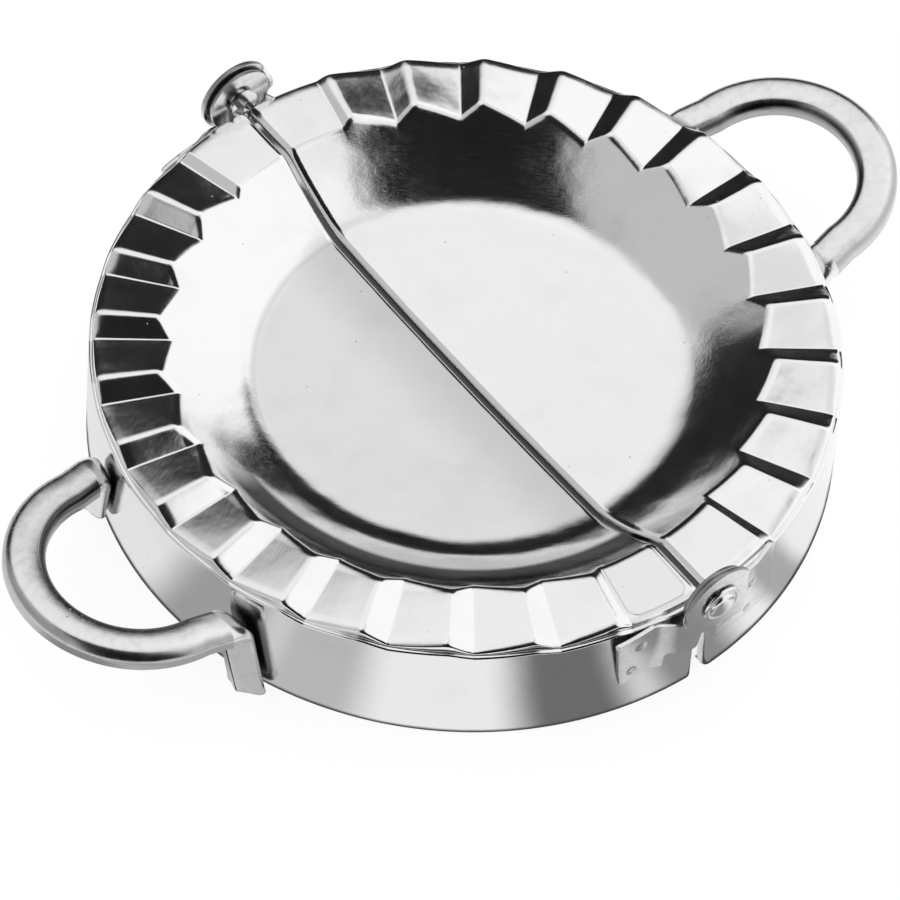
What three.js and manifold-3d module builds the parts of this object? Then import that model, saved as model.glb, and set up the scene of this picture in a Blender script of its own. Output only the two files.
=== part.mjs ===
// Ravioli mould: two half dishes of pressed sheet steel with a pleated rim. The halves lie
// side by side and fold together on two rivets, which stand at the front and back ends of the seam.
// Millimetres, +Z up. The origin is on the table, under the middle of the seam.
// The seam runs along Y, the handles stand out along X, and the front is at -Y.

import * as THREE from 'three';
import { mergeVertices } from 'three/addons/utils/BufferGeometryUtils.js';
import Module from 'manifold-3d';

const wasm = await Module();
wasm.setup();

// Half dish
const sheet = 0.6;
const padRadius = 47;
const pleatHeight = 16.6;
const pleatDrop = 1.45;
const pleatCount = 14;
const firstPadAngle = 0.03;
const padPitchShare = 0.71;
const padEdgeRound = 0.4;
const flangeWidth = 9;
const wallEdgeRound = 0.6;
const dishDepth = 6.7;
const floorRadius = 24;
const ledgeDrop = 0.9;
const ledgeFollowShare = 0.35;
const ledgeWidth = 0.55;
const ledgeRound = 0.3;
const skirtFlare = 0.45;
const seamGap = 1;
const hemDepth = 2.5;
const skirtReturn = 1.2;
const closedGap = 1.2;

// Loop handle, a channel strip with its open side down
const handleReach = 67.5;
const loopHalfWidth = 16;
const loopTilt = 0.136;
const stripWidth = 5.3;
const stripDepth = 2.4;
const stripSheet = 0.8;
const stripCorner = 1.1;
const crownHeight = 12.8;
const legBend = 3;
const legGap = 0.3;
const legSpread = 0.6;
const leftLegSplay = 2;
const rightLegSplay = 0.3;
const footLean = 0.85;
const legLean = 0.6;
const leftHandleShift = -0.5;
const rightHandleShift = 0.8;

// Hinge plates
const plateSheet = 0.7;
const plateGap = 0.3;
const plateBottom = 5.5;
const plateCorner = 0.8;
const earPlateTop = 15.6;
const earPlateStart = 6.7;
const earPlateEnd = 13.7;
const earRadius = 4.6;
const neckTop = 15.3;
const neckBottom = 9;
const neckReach = 3;
const joggleWidth = 2.2;
const discRadius = 5.25;
const discPlateTop = 16.2;
const discPlateEnd = 12;
const discWebBottom = 8.5;
const discStepWidth = 0.7;

// Rivets
const shankRadius = 1.3;
const pinClearance = 0.3;
const runningGap = 0.3;
const earClearance = 0.1;
const tailRadius = 2;
const tailThickness = 0.45;
const tailRelief = 0.4;
const headRadius = 2.7;
const headRim = 0.3;
const headDome = 0.6;

// Cutting tools reach this far past what they cut
const overrun = 3;

// Points closer than this are one point
const mergeDistance = 1e-5;

// Counts of facets
const wallSteps = 4;
const plainColumns = 12;
const cornerSteps = 3;
const bendSteps = 5;
const loopSteps = 18;
const roundSteps = 28;
const rivetSteps = 20;
const domeSteps = 3;
const weldSteps = 4;

// The riser between two pads: a small hollow foot, a slope and a broad round top
const riserAlongShares = [0.16, 0.5, 0.74];
const riserUpShares = [0.08, 0.6, 0.9];
const stepLeanShare = 0.5;
const footRiseShare = 0.6;
const filletShare = 0.8;

// Sizes that follow
const axisHeight = pleatHeight + closedGap / 2;
const floorHeight = pleatHeight - dishDepth;
const rimRadius = padRadius - flangeWidth;
const wallSpan = rimRadius - floorRadius;
const wallRadius = (wallSpan ** 2 + dishDepth ** 2) / (2 * dishDepth);
const wallCentreHeight = floorHeight + wallRadius;
const skirtTopRadius = padRadius + ledgeWidth;
const skirtBottomRadius = skirtTopRadius + skirtFlare;
const ledgeHeight = pleatHeight - ledgeDrop;
const pleatPitch = Math.PI / pleatCount;
const loopRadius = loopHalfWidth - stripWidth / 2;
const bendAngle = Math.PI / 2 - loopTilt;
const bendHeight = crownHeight - legBend * Math.sin(bendAngle);
const earInner = skirtBottomRadius + earClearance;
const earOuter = earInner + plateSheet;
const discInner = earOuter + runningGap;
const discOuter = discInner + plateSheet;
const headSeat = discOuter + runningGap;
const tailOuter = earInner - runningGap;
const tailInner = tailOuter - tailThickness;
const pinHoleRadius = shankRadius + pinClearance;

// Outer radius of the skirt at a height
function skirtRadius(height) {
  return skirtBottomRadius - skirtFlare * (height / ledgeHeight);
}

// A closed geometry from points and triangles, without collapsed triangles, faces pointing out
function closed(geometry) {
  geometry.deleteAttribute('normal');
  geometry.deleteAttribute('uv');
  const merged = mergeVertices(geometry, mergeDistance);
  const index = merged.index.array;
  const points = merged.attributes.position;
  const kept = [];
  const [a, b, c] = [new THREE.Vector3(), new THREE.Vector3(), new THREE.Vector3()];
  let volume = 0;
  for (let i = 0; i < index.length; i += 3) {
    const [p, q, r] = [index[i], index[i + 1], index[i + 2]];
    if (p === q || q === r || r === p) continue;
    a.fromBufferAttribute(points, p);
    b.fromBufferAttribute(points, q);
    c.fromBufferAttribute(points, r);
    volume += a.dot(b.cross(c));
    kept.push(p, q, r);
  }
  merged.setIndex(volume < 0 ? kept.reverse() : kept);
  return merged;
}

function solid(geometry) {
  const ready = closed(geometry);
  const vertProperties = new Float32Array(ready.attributes.position.array);
  const triVerts = new Uint32Array(ready.index.array);
  return new wasm.Manifold(new wasm.Mesh({ numProp: 3, vertProperties, triVerts }));
}

function geometryOf(body) {
  const mesh = body.getMesh();
  const geometry = new THREE.BufferGeometry();
  geometry.setAttribute('position', new THREE.Float32BufferAttribute(mesh.vertProperties, 3));
  geometry.setIndex([...mesh.triVerts]);
  return closed(geometry);
}

function mirrored(geometry, x, y) {
  return closed(geometry.clone().scale(x, y, 1));
}

// Skin between rings of equal length. With the flat outline of a ring, caps close the first and
// last ring, and otherwise the last ring joins the first.
function loft(rings, outline) {
  const size = rings[0].length;
  const indices = [];
  const spans = outline ? rings.length - 1 : rings.length;
  for (let i = 0; i < spans; i += 1) {
    const here = i * size;
    const next = ((i + 1) % rings.length) * size;
    for (let j = 0; j < size; j += 1) {
      const k = (j + 1) % size;
      indices.push(here + j, next + j, next + k);
      indices.push(here + j, next + k, here + k);
    }
  }
  const last = (rings.length - 1) * size;
  const caps = outline ? THREE.ShapeUtils.triangulateShape(outline, []) : [];
  for (const cap of caps) {
    if (THREE.ShapeUtils.isClockWise(outline)) cap.reverse();
    const [p, q, r] = cap;
    indices.push(p, q, r);
    indices.push(last + p, last + r, last + q);
  }
  const geometry = new THREE.BufferGeometry();
  geometry.setFromPoints(rings.flat());
  geometry.setIndex(indices);
  return closed(geometry);
}

// A flat outline given across and up, made a block that runs through a depth along Y
function blockAlongY(shape, from, to) {
  const block = new THREE.ExtrudeGeometry(shape, { depth: to - from, bevelEnabled: false });
  return block.rotateX(Math.PI / 2).translate(0, to, 0);
}

function polygon(points) {
  return new THREE.Shape(points.map(([across, up]) => new THREE.Vector2(across, up)));
}

function circle(radius, height) {
  const angles = Array.from({ length: roundSteps }, (_, i) => (2 * Math.PI * i) / roundSteps);
  return polygon(angles.map((angle) => [radius * Math.cos(angle), height + radius * Math.sin(angle)]));
}

function roundedRectangle(left, right, bottom, top, corner) {
  const [inLeft, inRight] = [left + corner, right - corner];
  const [inBottom, inTop] = [bottom + corner, top - corner];
  const centres = [[inRight, inTop], [inLeft, inTop], [inLeft, inBottom], [inRight, inBottom]];
  const points = [];
  centres.forEach(([x, z], quarter) => {
    for (let i = 0; i <= cornerSteps; i += 1) {
      const angle = (Math.PI / 2) * (quarter + i / cornerSteps);
      points.push([x + corner * Math.cos(angle), z + corner * Math.sin(angle)]);
    }
  });
  return polygon(points);
}

// Share of the climb at the start and the end of a pad. Pads fall from 1 to 0, but at both ends of
// the seam they come level with the other half.
function padClimb(pleat) {
  if (pleat === 0) return [1 / 2, 1 / 2];
  if (pleat === pleatCount - 1) return [1, 1 / 2];
  return [1, 0];
}

// Pleats, as [angle, share of the climb] from the back end of the seam. A short riser climbs from
// each pad to the next.
function pleatColumns() {
  const columns = [[0, 1 / 2]];
  const padSpan = pleatPitch * padPitchShare;
  const riserSpan = pleatPitch - padSpan;
  for (let pleat = 0; pleat < pleatCount; pleat += 1) {
    const start = firstPadAngle + pleat * pleatPitch;
    const [first, last] = padClimb(pleat);
    columns.push([start, first]);
    columns.push([start + padSpan / 2, (first + last) / 2]);
    columns.push([start + padSpan, last]);
    if (pleat === pleatCount - 1) break;
    riserAlongShares.forEach((along, i) => {
      const climb = last + (1 - last) * riserUpShares[i];
      columns.push([start + padSpan + riserSpan * along, climb]);
    });
  }
  for (let i = 0; i < plainColumns; i += 1) {
    columns.push([Math.PI * (1 + i / plainColumns), 1 / 2]);
  }
  return columns;
}

// Half of the sheet's section, as [radius, height], from the middle of the floor out over the rim,
// down the skirt and back underneath
function dishSection(padHeight) {
  const points = [];
  const ledge = ledgeHeight + ledgeFollowShare * (padHeight - pleatHeight);
  const topAngle = Math.acos((wallCentreHeight - padHeight) / wallRadius);
  const edgeAngle = topAngle - wallEdgeRound / wallRadius;
  points.push([0, floorHeight]);
  for (let i = 0; i <= wallSteps; i += 1) {
    const angle = (edgeAngle * i) / wallSteps;
    const radius = floorRadius + wallRadius * Math.sin(angle);
    points.push([radius, wallCentreHeight - wallRadius * Math.cos(angle)]);
  }
  const padRound = Math.min(padEdgeRound, filletShare * (padHeight - ledge));
  const stepRound = Math.min(ledgeRound, filletShare * ledgeWidth);
  points.push([floorRadius + wallRadius * Math.sin(topAngle) + wallEdgeRound, padHeight]);
  points.push([padRadius - padRound, padHeight]);
  points.push([padRadius, padHeight - padRound]);
  points.push([padRadius, ledge]);
  points.push([skirtTopRadius - stepRound, ledge]);
  points.push([skirtTopRadius, ledge - stepRound]);
  points.push([skirtBottomRadius, 0]);
  points.push([skirtBottomRadius - sheet, 0]);
  points.push([skirtTopRadius - sheet, ledge - sheet]);
  points.push([padRadius - sheet, ledge - sheet]);
  points.push([padRadius - sheet, padHeight - sheet]);
  const underRadius = wallRadius + sheet;
  const underAngle = Math.acos((wallCentreHeight - padHeight + sheet) / underRadius);
  for (let i = wallSteps; i >= 0; i -= 1) {
    const angle = (underAngle * i) / wallSteps;
    const radius = floorRadius + underRadius * Math.sin(angle);
    points.push([radius, wallCentreHeight - underRadius * Math.cos(angle)]);
  }
  points.push([0, floorHeight - sheet]);
  return points;
}

// The whole round dish with one half's pleats, of which only that half is kept
function pleatedDish(side) {
  const rings = pleatColumns().map(([angle, climb]) => {
    const padHeight = pleatHeight + side * pleatDrop * (climb - 1 / 2);
    return dishSection(padHeight).map(([radius, height]) => (
      new THREE.Vector3(radius * Math.sin(angle), radius * Math.cos(angle), height)
    ));
  });
  return loft(rings);
}

// The turned-down edge along the seam, cut from the same section as the sheet it hangs from
function seamHem() {
  const middle = sheet / 2;
  const upper = [];
  const lower = [];
  for (const end of [-1, 1]) {
    const outside = [[skirtBottomRadius - middle, 0], [skirtTopRadius - middle, ledgeHeight - middle]];
    outside.push([padRadius - middle, ledgeHeight - middle], [padRadius - middle, pleatHeight - middle]);
    const inside = [[skirtBottomRadius - skirtReturn, 0]];
    inside.push([skirtTopRadius - skirtReturn, pleatHeight - hemDepth]);
    const midRadius = wallRadius + middle;
    const midAngle = Math.acos((wallCentreHeight - pleatHeight + middle) / midRadius);
    for (let i = wallSteps; i >= 0; i -= 1) {
      const angle = (midAngle * i) / wallSteps;
      const radius = floorRadius + midRadius * Math.sin(angle);
      const height = wallCentreHeight - midRadius * Math.cos(angle);
      outside.push([radius, height]);
      inside.push([radius, height - hemDepth + middle]);
    }
    if (end > 0) {
      outside.reverse();
      inside.reverse();
    }
    upper.push(...outside.map(([radius, height]) => [end * radius, height]));
    lower.push(...inside.map(([radius, height]) => [end * radius, height]));
  }
  const outline = polygon([...upper, ...lower.reverse()]);
  const hem = new THREE.ExtrudeGeometry(outline, { depth: sheet, bevelEnabled: false });
  const basis = new THREE.Matrix4().makeBasis(
    new THREE.Vector3(0, 1, 0),
    new THREE.Vector3(0, 0, 1),
    new THREE.Vector3(1, 0, 0),
  );
  return hem.applyMatrix4(basis).translate(seamGap / 2, 0, 0);
}

// Half dish on the +X side. side is 1 for the right half and -1 for the left one, whose pleats
// rise where the right ones fall, so that they mesh when the mould is folded.
function halfDish(side) {
  const reach = 2 * (skirtBottomRadius + overrun);
  const keep = new THREE.BoxGeometry(reach, reach, reach).translate(reach / 2 + seamGap / 2, 0, 0);
  let body = solid(pleatedDish(side)).intersect(solid(keep)).add(solid(seamHem()));
  const reliefStart = tailInner - runningGap;
  const reliefCircle = circle(tailRadius + tailRelief, axisHeight);
  const relief = blockAlongY(reliefCircle, reliefStart, reliefStart + overrun);
  body = body.subtract(solid(relief)).subtract(solid(mirrored(relief, 1, -1)));
  return geometryOf(body);
}

// Section of the handle's channel, as [across, depth below the crown], with round corners outside.
// The turned edges lean inwards by an angle, which is 0 on the loop.
function channelSection(lean) {
  const half = stripWidth / 2;
  const edge = stripDepth - stripCorner;
  const outer = [half - edge * Math.sin(lean), stripCorner + edge * Math.cos(lean)];
  const inner = [outer[0] - stripSheet * Math.cos(lean), outer[1] - stripSheet * Math.sin(lean)];
  const back = (inner[1] - stripSheet) / Math.cos(lean);
  const bottom = inner[0] + back * Math.sin(lean);
  const points = [];
  for (const end of [-1, 1]) {
    const side = [outer];
    for (let i = 0; i <= cornerSteps; i += 1) {
      const angle = (Math.PI / 2) * (i / cornerSteps);
      const across = half - stripCorner * (1 - Math.cos(angle));
      side.push([across, stripCorner * (1 - Math.sin(angle))]);
    }
    if (end > 0) side.reverse();
    points.push(...side.map(([across, depth]) => [end * across, depth]));
  }
  points.push(inner, [bottom, stripSheet], [-bottom, stripSheet], [-inner[0], inner[1]]);
  return points;
}

// One place on the handle: a point on the crown, the way across the strip, the way the crown faces
// and the lean of the strip's turned edges
function station(point, across, crown, lean) {
  return { point, across, crown, lean };
}

// Stations from the foot of one leg to the start of the loop. end is 1 for the leg towards +Y.
function legStations(end, splay) {
  const stations = [];
  const straight = loopRadius + legSpread;
  for (const [height, lean] of [[0, footLean], [bendHeight, legLean]]) {
    const away = straight + splay * (1 - height / bendHeight);
    const radius = skirtRadius(height) + legGap;
    const turn = Math.asin(away / radius);
    const point = new THREE.Vector3(radius * Math.cos(turn), end * away, height);
    const across = new THREE.Vector3(-Math.sin(turn), end * Math.cos(turn), 0);
    const crown = new THREE.Vector3(-Math.cos(turn), -end * Math.sin(turn), 0);
    stations.push(station(point, across, crown, lean));
  }
  const top = stations[1].point;
  const turnAtTop = Math.asin(straight / (skirtRadius(bendHeight) + legGap));
  for (let i = 1; i <= bendSteps; i += 1) {
    const bend = bendAngle * (i / bendSteps);
    const turn = turnAtTop * (1 - i / bendSteps);
    const forward = legBend * (1 - Math.cos(bend));
    const point = new THREE.Vector3(top.x + forward, top.y, bendHeight + legBend * Math.sin(bend));
    const across = new THREE.Vector3(-Math.sin(turn), end * Math.cos(turn), 0);
    const level = -Math.cos(bend);
    const crown = new THREE.Vector3(level * Math.cos(turn), end * level * Math.sin(turn), Math.sin(bend));
    stations.push(station(point, across, crown, legLean * (1 - i / bendSteps)));
  }
  return stations;
}

// Loop handle on the +X side: up one leg, round the loop, which climbs outwards, and down the other leg
function loopHandle(splay, shift) {
  const stations = legStations(1, splay);
  const start = stations[stations.length - 1].point;
  const outwards = new THREE.Vector3(Math.cos(loopTilt), 0, Math.sin(loopTilt));
  const up = new THREE.Vector3(-Math.sin(loopTilt), 0, Math.cos(loopTilt));
  const centreOut = (handleReach - start.x) / Math.cos(loopTilt) - loopHalfWidth;
  for (let i = 0; i <= loopSteps; i += 1) {
    const angle = Math.PI * (1 / 2 - i / loopSteps);
    const across = outwards.clone().multiplyScalar(Math.cos(angle)).setY(Math.sin(angle));
    const point = new THREE.Vector3(start.x, 0, start.z).addScaledVector(outwards, centreOut);
    stations.push(station(point.addScaledVector(across, loopRadius), across, up, 0));
  }
  stations.push(...legStations(-1, splay).reverse());
  const rings = stations.map(({ point, across, crown, lean }) => (
    channelSection(lean).map(([along, depth]) => {
      const place = point.clone().addScaledVector(across, along).addScaledVector(crown, -depth);
      if (point.z === 0) place.z += footRiseShare * depth;
      return place;
    })
  ));
  const outline = channelSection(footLean).map(([along, depth]) => new THREE.Vector2(along, depth));
  return loft(rings, outline).translate(0, shift, 0);
}

// Bent sheet of a hinge plate, at the back end of the seam: a flat tongue in front of the skirt, a step
// down to it and a stretch that lies along the skirt. Its height runs past the outline cut from it.
function bentSheet(tongueFace, stepStart, stepWidth, end) {
  const rings = [plateBottom - overrun, axisHeight + discRadius + overrun].map((height) => {
    const faces = [[tongueFace, 0, 0], [tongueFace - plateSheet, plateSheet, stepLeanShare * plateSheet]];
    const [outer, inner] = faces.map(([face, inset, lean]) => {
      const radius = skirtRadius(height) + plateGap + plateSheet - inset;
      const points = [[-discRadius - overrun, face], [stepStart - lean, face]];
      const from = stepStart + stepWidth - lean;
      for (let i = 0; i <= weldSteps; i += 1) {
        const across = from + ((end + overrun - from) * i) / weldSteps;
        points.push([across, Math.sqrt(radius ** 2 - across ** 2)]);
      }
      return points;
    });
    return [...outer, ...inner.reverse()].map(([across, out]) => new THREE.Vector3(across, out, height));
  });
  const outline = rings[0].map(({ x, y }) => new THREE.Vector2(x, y));
  return loft(rings, outline);
}

// Hinge plate at the back end of the seam, on the +X side: the bent sheet inside its outlines
function hingePlate(band, outlines) {
  const [from, to] = [padRadius - overrun, headSeat + overrun];
  const blocks = outlines.map((outline) => solid(blockAlongY(outline, from, to)));
  const outline = blocks.reduce((sum, block) => sum.add(block));
  const pinHole = solid(blockAlongY(circle(pinHoleRadius, axisHeight), from, to));
  return geometryOf(solid(band).intersect(outline).subtract(pinHole));
}

// Plate with a neck and a round ear behind the other plate's disc
function earPlate() {
  const neck = polygon([
    [earPlateStart + plateCorner, neckTop],
    [earPlateStart + plateCorner, neckBottom],
    [neckReach, neckBottom],
    [-earRadius / 2, axisHeight - (earRadius * Math.sqrt(3)) / 2],
    [0, axisHeight],
    [neckReach, neckTop],
  ]);
  const weld = roundedRectangle(earPlateStart, earPlateEnd, plateBottom, earPlateTop, plateCorner);
  const band = bentSheet(earOuter, neckReach, joggleWidth, earPlateEnd);
  return hingePlate(band, [circle(earRadius, axisHeight), neck, weld]);
}

// Plate with the disc that shows
function discPlate() {
  const web = polygon([
    [discRadius + discStepWidth + plateCorner, discPlateTop],
    [discRadius + discStepWidth + plateCorner, discWebBottom],
    [discRadius, discWebBottom],
    [0, axisHeight - discRadius],
    [0, axisHeight],
    [discRadius / 2, discPlateTop],
  ]);
  const weld = roundedRectangle(discRadius, discPlateEnd, plateBottom, discPlateTop, plateCorner);
  const band = bentSheet(discOuter, discRadius, discStepWidth, discPlateEnd);
  return hingePlate(band, [circle(discRadius, axisHeight), web, weld]);
}

// Rivet at the back end of the seam, with its domed head outside
function rivet() {
  const profile = [[0, tailInner], [tailRadius, tailInner], [tailRadius, tailOuter]];
  profile.push([shankRadius, tailOuter], [shankRadius, headSeat], [headRadius, headSeat]);
  for (let i = 0; i < domeSteps; i += 1) {
    const angle = (Math.PI / 2) * (i / domeSteps);
    profile.push([headRadius * Math.cos(angle), headSeat + headRim + headDome * Math.sin(angle)]);
  }
  profile.push([0, headSeat + headRim + headDome]);
  const points = profile.map(([radius, out]) => new THREE.Vector2(radius, out));
  return closed(new THREE.LatheGeometry(points, rivetSteps).translate(0, 0, axisHeight));
}

// Finishes: bright pressed sheet, the duller strip of the handles, stamped plates and rivets
const finishes = {
  dish: { color: 0xd8d9da, roughness: 0.16, metalness: 1 },
  handle: { color: 0xcfd0d1, roughness: 0.24, metalness: 1 },
  plate: { color: 0xc4c5c6, roughness: 0.32, metalness: 1 },
  rivet: { color: 0xcacbcc, roughness: 0.2, metalness: 1 },
};

function piece(name, geometry, finish) {
  const mesh = new THREE.Mesh(geometry, new THREE.MeshStandardMaterial(finishes[finish]));
  mesh.name = name;
  return mesh;
}

const leftHalf = new THREE.Group();
leftHalf.add(piece('left_dish', mirrored(halfDish(-1), -1, 1), 'dish'));
leftHalf.add(piece('left_handle', mirrored(loopHandle(leftLegSplay, leftHandleShift), -1, 1), 'handle'));

const rightHalf = new THREE.Group();
rightHalf.add(piece('right_dish', halfDish(1), 'dish'));
rightHalf.add(piece('right_handle', loopHandle(rightLegSplay, rightHandleShift), 'handle'));

// Both ends of the seam have the same plates and rivet
const earShape = earPlate();
const discShape = discPlate();
const rivetShape = rivet();
for (const [end, along] of [['front', -1], ['back', 1]]) {
  leftHalf.add(piece(`${end}_left_hinge_plate`, mirrored(earShape, -1, along), 'plate'));
  leftHalf.add(piece(`${end}_rivet`, mirrored(rivetShape, 1, along), 'rivet'));
  rightHalf.add(piece(`${end}_right_hinge_plate`, mirrored(discShape, 1, along), 'plate'));
}

const mould = new THREE.Group();
mould.add(leftHalf, rightHalf);

export default mould;
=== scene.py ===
"""Ravioli mould of polished sheet steel: two pleated half dishes on a hinge, with loop handles."""

import math
from contextlib import contextmanager
from types import SimpleNamespace

import bmesh
import bpy
from mathutils import Matrix, Vector


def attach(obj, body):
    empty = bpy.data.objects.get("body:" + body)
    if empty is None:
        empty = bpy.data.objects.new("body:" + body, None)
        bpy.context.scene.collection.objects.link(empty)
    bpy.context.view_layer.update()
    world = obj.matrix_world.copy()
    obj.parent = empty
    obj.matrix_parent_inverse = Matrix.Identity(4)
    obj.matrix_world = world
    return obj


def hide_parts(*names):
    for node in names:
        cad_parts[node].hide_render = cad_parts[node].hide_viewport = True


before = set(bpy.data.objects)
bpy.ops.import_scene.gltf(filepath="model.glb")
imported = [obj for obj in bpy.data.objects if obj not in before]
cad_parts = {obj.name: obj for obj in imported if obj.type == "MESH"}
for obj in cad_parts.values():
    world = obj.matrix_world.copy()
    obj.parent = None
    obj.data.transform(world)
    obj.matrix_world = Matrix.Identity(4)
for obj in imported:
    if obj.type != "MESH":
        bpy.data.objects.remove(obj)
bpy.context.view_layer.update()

bl_info = {
    "name": "Ravioli Mould",
    "version": (1, 0, 0),
    "blender": (4, 5, 0),
    "location": "View3D > Sidebar > Mould",
    "description": "Folding ravioli mould of pressed steel, with its finishes and studio",
    "category": "Object",
}

MM = 0.001
HALF_TURN = math.pi
QUARTER_TURN = math.pi / 2


# Properties


def length(name, description, millimetres):
    return bpy.props.FloatProperty(
        name=name, description=description, default=millimetres * MM, unit="LENGTH", precision=5
    )


def share(name, description, default):
    return bpy.props.FloatProperty(
        name=name, description=description, default=default, min=0, max=1, subtype="FACTOR"
    )


def colour(name, description, default):
    return bpy.props.FloatVectorProperty(
        name=name, description=description, default=default, min=0, max=1, size=3, subtype="COLOR"
    )


def angle(name, description, degrees):
    return bpy.props.FloatProperty(
        name=name, description=description, default=math.radians(degrees), subtype="ANGLE"
    )


def own_settings(group):
    """Names of the settings that a property group adds itself"""
    return [name for name in group.bl_rna.properties.keys() if name not in ("rna_type", "name")]


class DishSizes(bpy.types.PropertyGroup):
    """Sizes of the pressed halves"""

    sheet: length("Sheet", "Thickness of the pressed sheet", 0.55)
    pad_radius: length("Pad radius", "Outer radius of the pleated pads", 47)
    pleat_height: length("Pleat height", "Middle height of the pads over the table", 16.6)
    pleat_drop: length("Pleat drop", "How far a pad falls along its length", 1.45)
    pleats: bpy.props.IntProperty(
        name="Pleats", description="Pads on each half", default=14, min=2
    )
    first_pad: angle("First pad", "Turn from the seam to the first pad", 1.719)
    flange_width: length("Flange width", "Width of the pads", 9)
    wall_round: length("Wall edge", "Rounding from the wall to the pads", 0.9)
    depth: length("Dish depth", "Depth of the floor below the pads", 6.7)
    floor_radius: length("Floor radius", "Radius of the floor, up to its bend", 25)
    floor_bend: length("Floor bend", "Radius of the bend from the floor to the wall", 9.7)
    bend_slope: angle("Bend slope", "Slope of the wall where the floor's bend ends", 26)
    floor_sag: length("Floor sag", "How far the middle of the floor hangs below its edge", 0.7)
    pad_round: length("Pad edge", "Rounding of a pad's outer edge", 0.4)
    roll_width: length("Roll width", "Width of the soft roll at a pad's outer edge", 1.3)
    roll_drop: length("Roll drop", "How far that roll falls", 0.14)
    ledge_drop: length("Ledge drop", "Depth of the ledge below the pads", 0.9)
    ledge_width: length("Ledge width", "Width of the ledge round the pads", 0.55)
    flare: length("Skirt flare", "How much wider the skirt is at the table", 0.45)
    foot: length("Skirt foot", "Height of the curl at the skirt's foot", 0.4)
    seam_gap: length("Seam gap", "Gap between the halves", 0.6)
    seam_round: length("Seam edge", "Rounding of the edges along the seam", 0.95)
    hem: length("Hem depth", "Depth of the turned-down edge along the seam", 2.5)
    skirt_return: length("Skirt return", "Width of the skirt's turned-in ends", 1.5)
    skirt_setback: length("Skirt setback", "How far the skirt's ends are set back", 0.6)


class HandleSizes(bpy.types.PropertyGroup):
    """Sizes of the loop handles"""

    reach: length("Reach", "Reach of a loop from the middle of the mould", 67.5)
    half_width: length("Half width", "Half the width of a loop", 16)
    tilt: angle("Tilt", "Climb of the loop", 7.79)
    strip_width: length("Strip width", "Width of the bent strip", 5.3)
    strip_depth: length("Strip depth", "Depth of the strip's turned edges", 2.4)
    strip_sheet: length("Strip sheet", "Thickness of the strip", 0.6)
    strip_corner: length("Strip corner", "Rounding along the strip", 1.45)
    strip_dome: length("Strip dome", "How far the strip's top bulges", 0.12)
    crown: length("Crown height", "Height of the loop over the table at the legs", 12.8)
    bend: length("Leg bend", "Radius of the bend down to a leg", 3)
    gap: length("Leg gap", "Gap between the legs and the skirt", 0.3)
    spread: length("Leg spread", "How much wider the legs stand than the loop", 0.6)
    leg_lean: angle("Leg lean", "Inward lean of the turned edges at the bend", 51)
    foot_lean: angle("Foot lean", "Inward lean of the turned edges at the table", 55)
    leg_edge: length("Leg edge", "Length of the turned edges at the table, past their bend", 2.3)
    leg_corner: length("Leg corner", "Rounding along the strip at the table", 0.8)
    short_leg: length("Short leg", "Height of the left handle's back leg above the table", 2.3)
    foot_rise: share("Foot rise", "Rise of a foot along the depth of its strip", 0.35)
    foot_round: length("Foot corner", "Rounding of a foot's free corners", 0.25)
    left_splay: length("Left splay", "How far the left legs lean out at the table", 2)
    right_splay: length("Right splay", "How far the right legs lean out at the table", 0.3)
    left_shift: length("Left shift", "Place of the left handle along the seam", -0.5)
    right_shift: length("Right shift", "Place of the right handle along the seam", 0.8)


class HingeSizes(bpy.types.PropertyGroup):
    """Sizes of the hinge plates and rivets"""

    sheet: length("Plate sheet", "Thickness of the ear plates", 0.55)
    disc_sheet: length("Disc sheet", "Thickness of the disc plates", 0.62)
    gap: length("Plate gap", "Gap between plate and skirt", 0.12)
    axis_rise: length("Axis rise", "Height of the pins over the pads' middle height", 0.6)
    ear_rise: length("Ear rise", "How far an ear's face stands out from the skirt's foot", 0.8)
    disc_rise: length("Disc rise", "How far a disc's face stands out from the ear's", 1)
    head_rise: length("Head rise", "How far a rivet's head stands out from the disc's face", 0.25)
    stand_off: length("Stand-off", "How far an ear plate's free corner stands off the skirt", 0.75)
    bottom: length("Plate bottom", "Height of the disc plates' lower edge", 5.5)
    back_top: length("Back plate top", "Height of the back plates' upper edges", 14.4)
    ear_radius: length("Ear radius", "Radius of the hidden ear", 4.6)
    disc_radius: length("Disc radius", "Radius of the disc that shows", 5.25)
    hole_radius: length("Hole radius", "Radius of the hole for a rivet", 1.6)
    head_radius: length("Head radius", "Radius of a rivet's head", 2.7)
    head_edge: length("Head edge", "Height and rounding of a rivet's flat head", 0.3)
    shank_radius: length("Shank radius", "Radius of a rivet's shank", 1.3)
    tail_radius: length("Tail radius", "Radius of a rivet's flat tail", 2)


class Finishes(bpy.types.PropertyGroup):
    """Colours and gloss of the steel"""

    dish: colour("Dish steel", "Colour of the pressed halves", (0.90, 0.90, 0.905))
    dish_gloss: share("Dish roughness", "Roughness of the pressed halves", 0.14)
    handle: colour("Handle steel", "Colour of the handles", (0.86, 0.86, 0.865))
    handle_gloss: share("Handle roughness", "Roughness of the handles", 0.24)
    plate: colour("Plate steel", "Colour of the hinge plates", (0.84, 0.84, 0.845))
    plate_gloss: share("Plate roughness", "Roughness of the hinge plates", 0.22)
    rivet: colour("Rivet steel", "Colour of the rivets", (0.88, 0.88, 0.885))
    rivet_gloss: share("Rivet roughness", "Roughness of the rivets", 0.16)


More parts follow.
